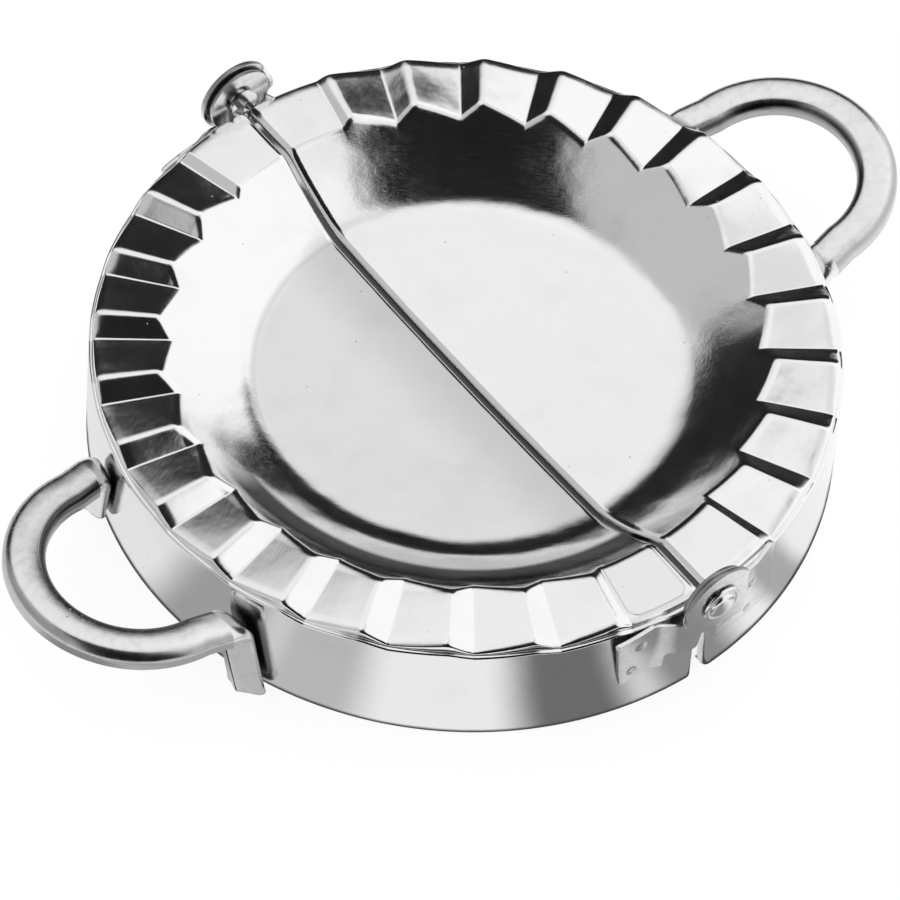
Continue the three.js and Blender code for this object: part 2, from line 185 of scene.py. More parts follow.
class StageSizes(bpy.types.PropertyGroup):
    """Camera and studio"""

    azimuth: angle("Azimuth", "Turn of the camera round the mould", -41.327)
    elevation: angle("Elevation", "Camera's angle over the table", 53.231)
    roll: angle("Roll", "Camera's turn about its view", 4.525)
    distance: length("Distance", "Camera's distance from its target", 613.93)
    lens: bpy.props.FloatProperty(
        name="Lens", description="Focal length in millimetres", default=192.12
    )
    target: bpy.props.FloatVectorProperty(
        name="Target", description="Point the camera looks at", size=3,
        default=(-4.06 * MM, -2.921 * MM, 0), subtype="TRANSLATION",
    )
    backdrop: colour("Backdrop", "Colour of the floor and backdrop", (1, 1, 1))


# Node trees


def sum_with(operation, flip=False):
    """A method that adds a Math node to the tree of its value"""
    def method(value, *others):
        terms = [value, *others]
        if flip:
            terms.reverse()
        return value.nodes.add("ShaderNodeMath", dict(enumerate(terms)), {"operation": operation})

    return method


class Value:
    """A number socket that can be used in Python sums"""

    def __init__(self, nodes, socket):
        self.nodes = nodes
        self.socket = socket

    __add__ = sum_with("ADD")
    __radd__ = sum_with("ADD", flip=True)
    __sub__ = sum_with("SUBTRACT")
    __rsub__ = sum_with("SUBTRACT", flip=True)
    __mul__ = sum_with("MULTIPLY")
    __rmul__ = sum_with("MULTIPLY", flip=True)
    __truediv__ = sum_with("DIVIDE")
    __rtruediv__ = sum_with("DIVIDE", flip=True)
    __pow__ = sum_with("POWER")
    __lt__ = sum_with("LESS_THAN")
    __gt__ = sum_with("GREATER_THAN")
    __abs__ = sum_with("ABSOLUTE")
    sin = sum_with("SINE")
    cos = sum_with("COSINE")
    asin = sum_with("ARCSINE")
    acos = sum_with("ARCCOSINE")
    atan2 = sum_with("ARCTAN2")
    sqrt = sum_with("SQRT")
    floor = sum_with("FLOOR")
    least = sum_with("MINIMUM")
    most = sum_with("MAXIMUM")

    def __neg__(self):
        return self * -1

    def within(self, low, high):
        return self.most(low).least(high)


class Nodes:
    """A node tree, with one way to add a node"""

    def __init__(self, tree):
        self.tree = tree

    def add(self, kind, sockets=None, settings=None, output=0):
        node = self.tree.nodes.new(kind)
        for name, value in (settings or {}).items():
            setattr(node, name, value)
        for name, value in (sockets or {}).items():
            if isinstance(value, Value):
                value = value.socket
            if isinstance(value, bpy.types.NodeSocket):
                self.tree.links.new(value, node.inputs[name])
            else:
                node.inputs[name].default_value = value
        if output is None:
            return node
        return Value(self, node.outputs[output])

    def step(self, value, low, high):
        """Smooth step from 0 at low to 1 at high, which may be the lower number"""
        levels = (1, 0) if low > high else (0, 1)
        sockets = dict(enumerate((value, min(low, high), max(low, high), *levels)))
        return self.add("ShaderNodeMapRange", sockets, {"interpolation_type": "SMOOTHSTEP"})

    def soft(self, operation, value, other, distance):
        """Smooth minimum or maximum of two values"""
        sockets = {0: value, 1: other, 2: distance}
        return self.add("ShaderNodeMath", sockets, {"operation": operation})

    def apart(self, vector):
        """The x, y and z of a vector"""
        parts = self.add("ShaderNodeSeparateXYZ", {0: vector}, output=None)
        return [Value(self, socket) for socket in parts.outputs]

    def named(self, node, *names):
        """Outputs of a node by their names"""
        return [Value(self, node.outputs[name]) for name in names]

    def attribute(self, name):
        """The value that the mesh holds for each face"""
        node = self.add("ShaderNodeAttribute", settings={"attribute_name": name}, output=None)
        return self.named(node, "Fac")[0]

    def where(self):
        """Place on the piece, in metres"""
        return self.add("ShaderNodeTexCoord", output=3)


# Meshes


MERGE_DISTANCE = 1e-7


def placed(name, data):
    """A new object at the origin"""
    obj = bpy.data.objects.new(name, data)
    bpy.context.collection.objects.link(obj)
    return obj


def evaluated(obj):
    """The plain mesh that an object's modifiers make, which takes the object's place"""
    depsgraph = bpy.context.evaluated_depsgraph_get()
    mesh = bpy.data.meshes.new_from_object(obj.evaluated_get(depsgraph))
    bpy.data.objects.remove(obj)
    return mesh


def piece(name, mesh, body, nodes, material):
    """An object at the origin that stands for CAD nodes and rides on their body"""
    obj = placed(name, mesh)
    mesh.materials.clear()
    mesh.materials.append(material)
    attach(obj, body)
    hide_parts(*nodes)


@contextmanager
def worked(mesh):
    """A mesh opened for work, which is written back at the end"""
    work = bmesh.new()
    work.from_mesh(mesh)
    yield work
    work.to_mesh(mesh)
    work.free()


def mesh_of(name, points, faces):
    mesh = bpy.data.meshes.new(name)
    mesh.from_pydata([tuple(point) for point in points], [], faces)
    return mesh


def finished(mesh, modifiers, sharp=40):
    """The mesh with modifiers applied, its normals outward and smooth up to the sharp angle"""
    obj = placed("working", mesh)
    for kind, settings in modifiers:
        modifier = obj.modifiers.new(kind.lower(), kind)
        for name, value in settings.items():
            setattr(modifier, name, value)
    result = evaluated(obj)
    with worked(result) as work:
        bmesh.ops.remove_doubles(work, verts=work.verts, dist=MERGE_DISTANCE)
        bmesh.ops.recalc_face_normals(work, faces=work.faces)
    result.polygons.foreach_set("use_smooth", [True] * len(result.polygons))
    result.set_sharp_from_angle(angle=math.radians(sharp))
    for vertex in result.vertices:
        vertex.co.z = max(vertex.co.z, 0)
    return result


def bevel(width, degrees):
    """Settings of a bevel of all edges that are sharper than this angle"""
    limit = {"limit_method": "ANGLE", "angle_limit": math.radians(degrees)}
    return "BEVEL", {"width": width, "segments": 2, **limit}


def mark_faces(mesh, name, mark_of):
    """Give each face a value, which the finish of the mesh reads"""
    marks = mesh.attributes.new(name, "FLOAT", "FACE")
    for polygon, mark in zip(mesh.polygons, marks.data):
        mark.value = mark_of(polygon)


def held(value):
    """The value, held between 0 and 1"""
    return min(1, max(0, value))


def on_circle(radius, turn):
    return radius * math.cos(turn), radius * math.sin(turn)


def turns_of(steps):
    """Turns of evenly spaced points round a circle"""
    return [2 * HALF_TURN * i / steps for i in range(steps)]


# Pleated halves


# Rows of points that each part of the section has, from the middle of the floor outwards
SECTION_ROWS = {
    "floor": 9, "bend": 9, "wall": 8, "edge": 6, "pad": 5, "roll": 6, "pad_edge": 5, "drop": 2,
    "fillet": 3, "ledge": 1, "shoulder": 4, "skirt": 10, "foot": 3,
}
# Columns over a pleat, as the share of it that they cover and how many they are
PLEAT_COLUMNS = {0.08: 5, 0.54: 5, 0.38: 22}
COLUMNS_PER_PLEAT = sum(PLEAT_COLUMNS.values())
# Columns before the first pleat, spaced as if the second number made a whole one
LEAD_COLUMNS = 4
LEAD_COLUMNS_PER_PLEAT = 24
ROLL_COLUMNS = 5
HEM_COLUMNS = 2
END_COLUMNS = ROLL_COLUMNS + HEM_COLUMNS
# Places in a pleat of the right half, from its crest on
CREST = 0.01
FOOT = 0.708
CREST_SOFTNESS = 0.42
FOOT_SOFTNESS = 0.07
LEVEL_SOFTNESS = 0.03
# Share of a pad's rise that the ledge beside it follows
LEDGE_FOLLOWS = 0.35
# Slope at the end of a pad's soft roll, how far the skirt's foot curls in, and the rise of the
# corner at the foot of its ends, as a share of their rounding
ROLL_END = 0.2
FOOT_CURL = 1
FOOT_CORNER = 0.5
# Distance within which the grid's points join, and one too small to show, never 0
JOIN_DISTANCE = 2e-6
TINY = 1e-9
# Most that the roundings of a low pad's edge take of its drop and of the ledge
PAD_ROUND_SHARE = 0.6
ROLL_DROP_SHARE = 0.2
FILLET_DROP_SHARE = 0.9
FILLET_LEDGE_SHARE = 0.3


def covered(count, counts):
    """How much of each named run of counts lies below a count, from 0 to 1"""
    shares = {}
    start = 0
    for name, run in counts.items():
        shares[name] = ((count - start) / run).within(0, 1)
        start += run
    return shares


def rows_before(part):
    """Row of points at which a part of the section starts"""
    parts = list(SECTION_ROWS)
    return sum(SECTION_ROWS[name] for name in parts[:parts.index(part)])


def pleat_rise(nodes, size, pleat):
    """Share of the pleat drop that the pads stand up at a place, counted in pleats. The left pads
    mirror the right ones, so that the halves mesh, and all are level at the ends of the seam."""
    along = pleat - pleat.floor()
    mirrored = CREST + FOOT - along
    mirrored = mirrored - mirrored.floor()
    along = mirrored + (along - mirrored) * (size.side > 0)
    fall_rate = 1 / (FOOT - CREST)
    climb_rate = 1 / (1 + CREST - FOOT)
    fall = 1 - (along - CREST) * fall_rate
    climb_before = 1 + (along - CREST) * climb_rate
    climb_after = (along - FOOT) * climb_rate
    fall_after = 1 - (along - 1 - CREST) * fall_rate
    crest = nodes.soft("SMOOTH_MIN", fall, climb_before, CREST_SOFTNESS)
    next_crest = nodes.soft("SMOOTH_MIN", climb_after, fall_after, CREST_SOFTNESS)
    rise = nodes.soft("SMOOTH_MAX", crest, next_crest, FOOT_SOFTNESS)
    level_at = (1 + CREST + FOOT) / 2
    low, high = level_at - LEVEL_SOFTNESS, level_at + LEVEL_SOFTNESS
    first_level = nodes.step(pleat, high, low)
    last_level = nodes.step(pleat - size.pleats + 2, low, high)
    return rise + (0.5 - rise) * first_level.most(last_level)


def section(size, shares, pole, pad_height, ledge):
    """Radius and height on the section, from the middle of the floor to the foot of the skirt"""
    floor_height = size.pleat_height - size.depth
    bend = size.floor_bend
    slope = size.bend_slope
    edge = size.wall_round
    bend_rise = bend * (1 - slope.cos())
    bend_end = size.floor_radius + bend * slope.sin()
    span = size.pad_radius - size.flange_width - bend_end
    rise = size.depth - bend_rise
    bow = (span * span + rise * rise).sqrt() / ((rise.atan2(span) - slope).sin() * 2)
    top_angle = (slope.cos() - (pad_height - floor_height - bend_rise) / bow).acos()
    edge_angle = top_angle - edge / bow

    # Floor, its bend and the wall, which steepens towards the rim
    radius = pole + (size.floor_radius - pole) * shares["floor"]
    bent = slope * shares["bend"]
    radius = radius + bend * bent.sin()
    floor_share = (radius / size.floor_radius).least(1)
    sag = size.floor_sag * (1 - floor_share * floor_share)
    height = floor_height + bend * (1 - bent.cos()) - sag
    steeper = slope + (edge_angle - slope) * shares["wall"]
    radius = radius + bow * (steeper.sin() - slope.sin())
    height = height + bow * (slope.cos() - steeper.cos())
    corner_in = bow * (top_angle.sin() - edge_angle.sin())
    corner_up = bow * (edge_angle.cos() - top_angle.cos())
    corner = 2 * shares["edge"] * (1 - shares["edge"])
    square = shares["edge"] * shares["edge"]
    radius = radius + corner * corner_in + square * (corner_in + edge)
    height = height + (corner + square) * corner_up

    # Pad, with its soft roll and its rounded edge
    pad_drop = pad_height - ledge
    pad_round = size.pad_round.least(pad_drop * PAD_ROUND_SHARE)
    roll_drop = size.roll_drop.least(pad_drop * ROLL_DROP_SHARE)
    pad_start = bend_end + bow * (top_angle.sin() - slope.sin()) + edge
    roll_start = size.pad_radius - pad_round * (1 - math.sin(ROLL_END)) - size.roll_width
    radius = radius + (roll_start - pad_start) * shares["pad"] + size.roll_width * shares["roll"]
    height = height - roll_drop * shares["roll"] * shares["roll"]
    turned_down = ROLL_END + shares["pad_edge"] * (QUARTER_TURN - ROLL_END)
    radius = radius + pad_round * (turned_down.sin() - math.sin(ROLL_END))
    height = height - pad_round * (math.cos(ROLL_END) - turned_down.cos())

    # Ledge below the pads, with a hollow and a shoulder
    pad_drop = pad_drop - roll_drop + pad_round * (1 - math.cos(ROLL_END))
    fillet = (pad_drop - pad_round) * FILLET_DROP_SHARE
    fillet = fillet.least(size.ledge_width * FILLET_LEDGE_SHARE)
    height = height - (pad_drop - pad_round - fillet) * shares["drop"]
    hollow = shares["fillet"] * QUARTER_TURN
    radius = radius + fillet * (1 - hollow.cos())
    height = height - fillet * hollow.sin()
    shoulder = size.ledge_width / 2
    radius = radius + (size.ledge_width - fillet - shoulder) * shares["ledge"]
    falling = shares["shoulder"] * QUARTER_TURN
    radius = radius + shoulder * falling.sin()
    height = height - shoulder * (1 - falling.cos())

    # Skirt, which curls in at its foot
    radius = radius + size.flare * shares["skirt"]
    height = height - (ledge - shoulder - size.foot) * shares["skirt"]
    curl = shares["foot"] * FOOT_CURL
    radius = radius - size.foot * (1 - curl.cos())
    height = height - size.foot * curl.sin() / math.sin(FOOT_CURL)
    return radius, height


def column_turn(size, main, pitch):
    """Turn round the dish of a column, counted from the seam edge"""
    counted = (main - LEAD_COLUMNS) / COLUMNS_PER_PLEAT
    place = (main - LEAD_COLUMNS).least(0) / LEAD_COLUMNS_PER_PLEAT
    counted = counted.most(0)
    whole = counted.floor().least(size.pleats - 1)
    for share_of, run in covered((counted - whole) * COLUMNS_PER_PLEAT, PLEAT_COLUMNS).items():
        place = place + run * share_of
    place = whole + place
    return (size.first_pad + pitch * place).within(0, HALF_TURN)


def seam_edge(size, shares, pole, row, turn, past, radius, height):
    """Place across and along the seam and its height, for a turn, radius and height on the half
    and for how many columns it lies past the seam edge"""
    roll = (past / ROLL_COLUMNS).within(0, 1) * QUARTER_TURN
    hem = ((past - ROLL_COLUMNS) / HEM_COLUMNS).within(0, 1)

    # Columns run beside the seam and not to the middle. The skirt's ends stand back from it.
    first_row = rows_before("pad_edge")
    lean = ((row - first_row) / (rows_before("skirt") - first_row)).within(0, 1) * QUARTER_TURN
    edge_turn = ((pole + size.skirt_setback * lean.sin()) / radius).within(0, 1).asin()
    clamped = turn.most(edge_turn).least(HALF_TURN - edge_turn)
    spread = edge_turn + turn * (HALF_TURN - 2 * edge_turn) / HALF_TURN
    outer = ((radius / size.floor_radius - 0.5) * 2).within(0, 1)
    turned = spread + (clamped - spread) * outer
    across = radius * turned.sin() - size.seam_round * roll.sin()
    along = radius * turned.cos()

    # The edge is turned down on the top and turned in on the skirt
    down = size.seam_round * (1 - roll.cos())
    flat = lean.sin()
    hem_left = size.hem - size.seam_round
    return_left = size.skirt_return - size.seam_round
    deep = down + hem * (hem_left * (1 - flat) + return_left * flat)
    height = height - deep * lean.cos()
    along = along - along / (abs(along) + TINY) * deep * flat

    # Round corner at the foot of the skirt ends
    return across, along, height.most(down * shares["skirt"] * FOOT_CORNER)


def pleated_tree(sizes):
    """Geometry Nodes tree that sets a grid's points on the pleated half, for either side"""
    tree = bpy.data.node_groups.new("Pleated half", "GeometryNodeTree")
    face = tree.interface
    face.new_socket("Geometry", in_out="OUTPUT", socket_type="NodeSocketGeometry")
    inputs = {}
    for key, name, kind in (("steel", "Steel", "Material"), ("side", "Side", "Float")):
        socket = face.new_socket(name, in_out="INPUT", socket_type=f"NodeSocket{kind}")
        inputs[key] = socket.identifier
    for key in own_settings(sizes):
        name = sizes.bl_rna.properties[key].name
        socket = face.new_socket(name, in_out="INPUT", socket_type="NodeSocketFloat")
        socket.default_value = getattr(sizes, key)
        inputs[key] = socket.identifier

    nodes = Nodes(tree)
    given = nodes.add("NodeGroupInput", output=None)
    size = SimpleNamespace(**{
        key: Value(nodes, socket) for key, socket in zip(inputs, given.outputs)
    })
    rows = sum(SECTION_ROWS.values())
    main_columns = LEAD_COLUMNS + COLUMNS_PER_PLEAT * sizes.pleats
    columns = main_columns + 2 * END_COLUMNS
    grid = nodes.add("GeometryNodeMeshGrid", {
        "Size X": 1, "Size Y": 1, "Vertices X": columns + 1, "Vertices Y": rows + 1,
    })
    x, y, _ = nodes.apart(nodes.add("GeometryNodeInputPosition"))
    main = (x + 0.5) * columns - END_COLUMNS
    row = (y + 0.5) * rows

    pitch = HALF_TURN / size.pleats
    turn = column_turn(size, main, pitch)
    rise = pleat_rise(nodes, size, (turn - size.first_pad) / pitch)
    pad_height = size.pleat_height + size.pleat_drop * (rise - 0.5)
    ledge = size.pleat_height - size.ledge_drop + (pad_height - size.pleat_height) * LEDGE_FOLLOWS
    pole = size.seam_gap * 0.5 + size.seam_round
    shares = covered(row, SECTION_ROWS)
    radius, height = section(size, shares, pole, pad_height, ledge)
    past = (-main).most(main - main_columns).most(0)
    across, along, height = seam_edge(size, shares, pole, row, turn, past, radius, height)

    position = nodes.add("ShaderNodeCombineXYZ", {0: across * size.side, 1: along, 2: height})
    moved = nodes.add("GeometryNodeSetPosition", {"Geometry": grid, "Position": position})
    sockets = {"Geometry": moved, "Distance": JOIN_DISTANCE}
    joined = nodes.add("GeometryNodeMergeByDistance", sockets)
    real = nodes.add("GeometryNodeRealizeInstances", {0: joined})
    steel = nodes.add("GeometryNodeSetMaterial", {"Geometry": real, "Material": size.steel})
    nodes.add("NodeGroupOutput", {0: steel}, output=None)
    return tree, inputs


def pleated_mesh(sizes, side, material):
    """Mesh of one pleated half, made by the tree on an empty object"""
    obj = placed("half", bpy.data.meshes.new("half"))
    modifier = obj.modifiers.new("pleated", "NODES")
    modifier.node_group, inputs = pleated_tree(sizes)
    modifier[inputs["side"]] = float(side)
    modifier[inputs["steel"]] = material
    surface = evaluated(obj)
    on_floor = Vector((side * sizes.floor_radius / 2, 0, 0))
    with worked(surface) as work:
        bmesh.ops.recalc_face_normals(work, faces=work.faces)
        top = min(work.faces, key=lambda f: (f.calc_center_median() - on_floor).xy.length)
        if top.normal.z < 0:
            bmesh.ops.reverse_faces(work, faces=work.faces)
    wall = {"thickness": sizes.sheet, "offset": -1, "use_quality_normals": True}
    return finished(surface, [("SOLIDIFY", wall)])


# Handles


DOME_STEPS = 4
CORNER_STEPS = 8
EDGE_STEPS = 5
LEG_STEPS = 10
BEND_STEPS = 12
LOOP_STEPS = 72
# Painted shade on the turned edges of a loop, by how far their faces turn in or out
OUTER_DARK = 0.5
DARK_FROM = 0.25
LEFT_INNER_DARK_FROM = 0.03
DARK_OVER = 0.4
PALER_FROM = 0.8
PALER_BY = 0.4


def skirt_radius(dish, height):
    """Radius of the flared skirt at a height over the table"""
    ledge = dish.pleat_height - dish.ledge_drop
    return dish.pad_radius + dish.ledge_width + dish.flare * (1 - height / ledge)


def strips(rows, count, rows_closed=False, closed=True):
    """Faces between rows of points, with count points in each row"""
    faces = []
    for i in range(rows if rows_closed else rows - 1):
        here, after = i * count, (i + 1) % rows * count
        for j in range(count if closed else count - 1):
            k = (j + 1) % count
            faces.append((here + j, here + k, after + k, after + j))
    return faces


def channel_section(sizes, lean):
    """Outline of the strip's section as (across, depth below the crown), its edges leaning in"""
    half = sizes.strip_width / 2
    sheet = sizes.strip_sheet
    closed = min(1, lean / sizes.leg_lean)
    mitre = closed * sheet / math.tan(sizes.foot_lean)
    corner = sizes.strip_corner + (sizes.leg_corner - sizes.strip_corner) * closed
    start = 2 * sizes.strip_dome / (half - corner)
    flat = half - corner * (1 - math.sin(start))
    middle = sizes.strip_dome + corner * math.cos(start)
    outer = []
    inner = []
    for i in range(DOME_STEPS):
        across = flat * i / DOME_STEPS
        dome = sizes.strip_dome * (across / flat) ** 2
        outer.append((across, dome))
        inner.append((across * (half - corner) / flat, dome + sheet))
    for i in range(CORNER_STEPS + 1):
        turn = start + (QUARTER_TURN + lean - start) * i / CORNER_STEPS
        for side, radius in ((outer, corner), (inner, corner - sheet)):
            across, up = on_circle(radius, turn - QUARTER_TURN)
            side.append((half - corner + across, middle + up))
    edge = sizes.strip_depth - middle
    edge += (sizes.leg_edge - edge) * closed
    for side, length_of in ((outer, edge + mitre), (inner, edge)):
        across, depth = side[-1]
        for i in range(1, EDGE_STEPS + 1):
            reach = length_of * i / EDGE_STEPS
            side.append((across - reach * math.sin(lean), depth + reach * math.cos(lean)))
    right = outer[1:] + inner[:0:-1]
    left = [(-across, depth) for across, depth in reversed(right)]
    return [outer[0], *right, inner[0], *left]


def leg_stations(sizes, dish, end, splay, lift=0):
    """Places from a leg's foot, lifted off the table, up it and round its bend, each as
    (point, across, crown, lean)"""
    stations = []

    def station(x, y, z, turn, bend, lean):
        across = Vector((-math.sin(turn), end * math.cos(turn), 0))
        level = math.cos(bend)
        crown = Vector((-level * math.cos(turn), -end * level * math.sin(turn), math.sin(bend)))
        stations.append((Vector((x, y, z)), across, crown, lean))

    bend_angle = QUARTER_TURN - sizes.tilt
    bend_height = sizes.crown - sizes.bend * math.sin(bend_angle)
    straight = sizes.half_width - sizes.strip_width / 2 + sizes.spread
    for i in range(LEG_STEPS + 1):
        height = lift + (bend_height - lift) * i / LEG_STEPS
        left = 1 - height / bend_height
        away = straight + splay * left
        radius = skirt_radius(dish, height) + sizes.gap
        turn = math.asin(away / radius)
        lean = sizes.leg_lean + (sizes.foot_lean - sizes.leg_lean) * left
        station(radius * math.cos(turn), end * away, height, turn, 0, lean)
    top = stations[-1][0]
    turn_at_top = math.asin(straight / (skirt_radius(dish, bend_height) + sizes.gap))
    for i in range(1, BEND_STEPS + 1):
        left = 1 - i / BEND_STEPS
        bend = bend_angle * i / BEND_STEPS
        forward = sizes.bend * (1 - math.cos(bend))
        height = bend_height + sizes.bend * math.sin(bend)
        station(top.x + forward, top.y, height, turn_at_top * left, bend, sizes.leg_lean * left)
    return stations


def handle_mesh(sizes, dish, side, splay, shift):
    """Channel strip swept up one leg, round the loop, which climbs outwards, and down again"""
    stations = leg_stations(sizes, dish, 1, splay, sizes.short_leg if side < 0 else 0)
    start = stations[-1][0]
    loop_radius = sizes.half_width - sizes.strip_width / 2
    outwards = Vector((math.cos(sizes.tilt), 0, math.sin(sizes.tilt)))
    up = Vector((-math.sin(sizes.tilt), 0, math.cos(sizes.tilt)))
    centre_out = (sizes.reach - start.x) / math.cos(sizes.tilt) - sizes.half_width
    centre = Vector((start.x, 0, start.z)) + outwards * centre_out
    for i in range(LOOP_STEPS + 1):
        turn = HALF_TURN * (0.5 - i / LOOP_STEPS)
        across = outwards * math.cos(turn) + Vector((0, math.sin(turn), 0))
        stations.append((centre + across * loop_radius, across, up, 0))
    stations += reversed(leg_stations(sizes, dish, -1, splay))
    bend_height = sizes.crown - sizes.bend * math.cos(sizes.tilt)
    points = []
    for point, across, crown, lean in stations:
        for along, depth in channel_section(sizes, lean):
            place = point + across * along - crown * depth
            if point.z < bend_height:
                free = held((depth - sizes.strip_depth + sizes.foot_round) / sizes.foot_round)
                corner = sizes.foot_round * (1 - math.sqrt(1 - free * free))
                place.z += (sizes.foot_rise * depth + corner) * (1 - point.z / bend_height)
            points.append((side * place.x, place.y + shift, max(place.z, 0)))
    rows = len(stations)
    count = len(points) // rows
    ends = [tuple(range(count)), tuple(reversed(range((rows - 1) * count, rows * count)))]
    mesh = mesh_of("handle", points, strips(rows, count) + ends)
    handle = finished(mesh, [bevel(0.12 * MM, 50)])

    def turned_edge_shade(polygon):
        """Painted shade on a face of the loop's turned edges, most of all on the inner side"""
        x, y, z = polygon.center
        away = Vector((side * x, y - shift, z)) - centre
        reach = away.dot(outwards)
        if reach <= -centre_out:
            return 0
        across = (outwards * max(0, reach) + Vector((0, away.y, 0))).normalized()
        x, y, z = polygon.normal
        facing = across.dot(Vector((side * x, y, z)))
        dark = 1 if facing < 0 else OUTER_DARK
        begin = LEFT_INNER_DARK_FROM if side < 0 and facing < 0 else DARK_FROM
        turned = held((abs(facing) - begin) / DARK_OVER)
        upright = held((abs(facing) - PALER_FROM) / (1 - PALER_FROM))
        return dark * turned * (1 - PALER_BY * upright)

    mark_faces(handle, "turned_edge_shade", turned_edge_shade)
    return handle


# Hinge


CORNER_POINTS = 6
# Most of a side that one rounded corner takes
CORNER_MOST = 0.49
ARC_STEPS = 40
HOLE_STEPS = 32
RIVET_STEPS = 48
HEAD_EDGE_STEPS = 6
BUTTON_STEPS = 14
# Lines across a plate that let it bend, upright and level
PLATE_COLUMN_WIDTH = 0.3 * MM
PLATE_ROWS_START = 5 * MM
PLATE_ROW_HEIGHT = 0.43 * MM
PLATE_ROWS = 42
CUT_DISTANCE = 1e-8
PLATE_MERGE_DISTANCE = 1e-6
FRONT_PLATE_TOP = 16.2 * MM
# Button on a rivet's head: its share of the head, its foot and rise, and the groove round it
BUTTON_SHARE = 0.68
BUTTON_FOOT = 0.24 * MM
BUTTON_RISE = 0.64 * MM
GROOVE_OUTER = 0.25 * MM
GROOVE_INNER = 0.08 * MM
GROOVE_FOOT = 0.2 * MM
TAIL_DEPTH = 1 * MM
TAIL_SHEET = 0.45 * MM
# Reach round the pin of painted shade on cut edges, and how far their faces may look along it
DARK_EDGE_REACH = 5.4 * MM
DARK_EDGE_FACING = 0.35
# Painted shade of that edge level with the pin, and how it grows upwards
DARK_EDGE_LEVEL = 0.3
DARK_EDGE_GROWS = 2


def corners(*points):
    """Corners of an outline in metres, from millimetres"""
    return [tuple(number * MM for number in point) for point in points]


def rounded(points):
    """Closed outline with its corners rounded, from (across, up, corner radius)"""
    outline = []
    count = len(points)
    for i, (x, z, radius) in enumerate(points):
        here = Vector((x, z))
        before = Vector(points[i - 1][:2]) - here
        after = Vector(points[(i + 1) % count][:2]) - here
        if radius <= 0:
            outline.append(here)
            continue
        between = before.angle(after)
        most = min(before.length, after.length) * CORNER_MOST
        reach = min(radius / math.tan(between / 2), most)
        first = here + before.normalized() * reach
        last = here + after.normalized() * reach
        for j in range(CORNER_POINTS + 1):
            t = j / CORNER_POINTS
            outline.append(first * (1 - t) ** 2 + here * (2 * t * (1 - t)) + last * t * t)
    return outline


def arc(radius, height, start, stop):
    """Points of an arc round the pin, without corner rounding"""
    points = []
    for i in range(ARC_STEPS + 1):
        across, up = on_circle(radius, start + (stop - start) * i / ARC_STEPS)
        points.append((across, height + up, 0))
    return points


def eased(value, low, high, softness):
    """0 up to low and 1 from high on, straight between, with rounded bends"""
    def bent(past):
        if past < -softness:
            return 0
        if past > softness:
            return past
        return (past + softness) ** 2 / (4 * softness)

    return (bent(value - low) - bent(value - high)) / (high - low)


def plate_mesh(outline, hole, height, depth_at, sheet, side, end):
    """Plate cut to an outline with a round hole, bent so that its outer face is at depth_at"""
    edges = []
    ring = []
    for turn in turns_of(HOLE_STEPS):
        across, up = on_circle(hole, turn)
        ring.append((across, height + up))
    mesh = bpy.data.meshes.new("plate")
    with worked(mesh) as work:
        for loop in (outline, ring):
            verts = [work.verts.new((x, 0, z)) for x, z in loop]
            for i, vert in enumerate(verts):
                edges.append(work.edges.new((vert, verts[(i + 1) % len(verts)])))
        bmesh.ops.triangle_fill(work, use_beauty=True, use_dissolve=False, edges=edges)
        low = min(vert.co.x for vert in work.verts)
        high = max(vert.co.x for vert in work.verts)
        cuts = []
        for i in range(1, int((high - low) / PLATE_COLUMN_WIDTH)):
            cuts.append(((low + i * PLATE_COLUMN_WIDTH, 0, 0), (1, 0, 0)))
        for i in range(1, PLATE_ROWS):
            cuts.append(((0, 0, PLATE_ROWS_START + i * PLATE_ROW_HEIGHT), (0, 0, 1)))
        for place, direction in cuts:
            geometry = [*work.verts, *work.edges, *work.faces]
            bmesh.ops.bisect_plane(
                work, geom=geometry, plane_co=place, plane_no=direction, dist=CUT_DISTANCE
            )
        bmesh.ops.remove_doubles(work, verts=work.verts, dist=PLATE_MERGE_DISTANCE)
        for vert in work.verts:
            vert.co.y = end * depth_at(vert.co.x, vert.co.z)
            vert.co.x *= side
        bmesh.ops.recalc_face_normals(work, faces=work.faces)
        face = max(work.faces, key=lambda f: f.calc_area())
        if face.normal.y * end < 0:
            bmesh.ops.reverse_faces(work, faces=work.faces)
    solidify = {"thickness": sheet, "offset": -1, "use_even_offset": True}
    plate = finished(mesh, [("SOLIDIFY", solidify), bevel(0.15 * MM, 60)], sharp=35)

    def shaded_cut_edge(polygon):
        """Painted shade of the cut edge at a face, most of all above the pin"""
        x, _, z = polygon.center
        if abs(x) >= DARK_EDGE_REACH or abs(polygon.normal.y) >= DARK_EDGE_FACING:
            return 0
        climb = (z - height) / math.hypot(z - height, x)
        return held(DARK_EDGE_GROWS * climb + DARK_EDGE_LEVEL)

    mark_faces(plate, "shaded_cut_edge", shaded_cut_edge)
    return plate


def jogged(dish, x, z, face, proud, share_down):
    """Depth at which a plate has stepped this far down, from its face to just off the skirt"""
    on_skirt = math.sqrt((skirt_radius(dish, z) + proud) ** 2 - x ** 2)
    return face * (1 - share_down) + on_skirt * share_down


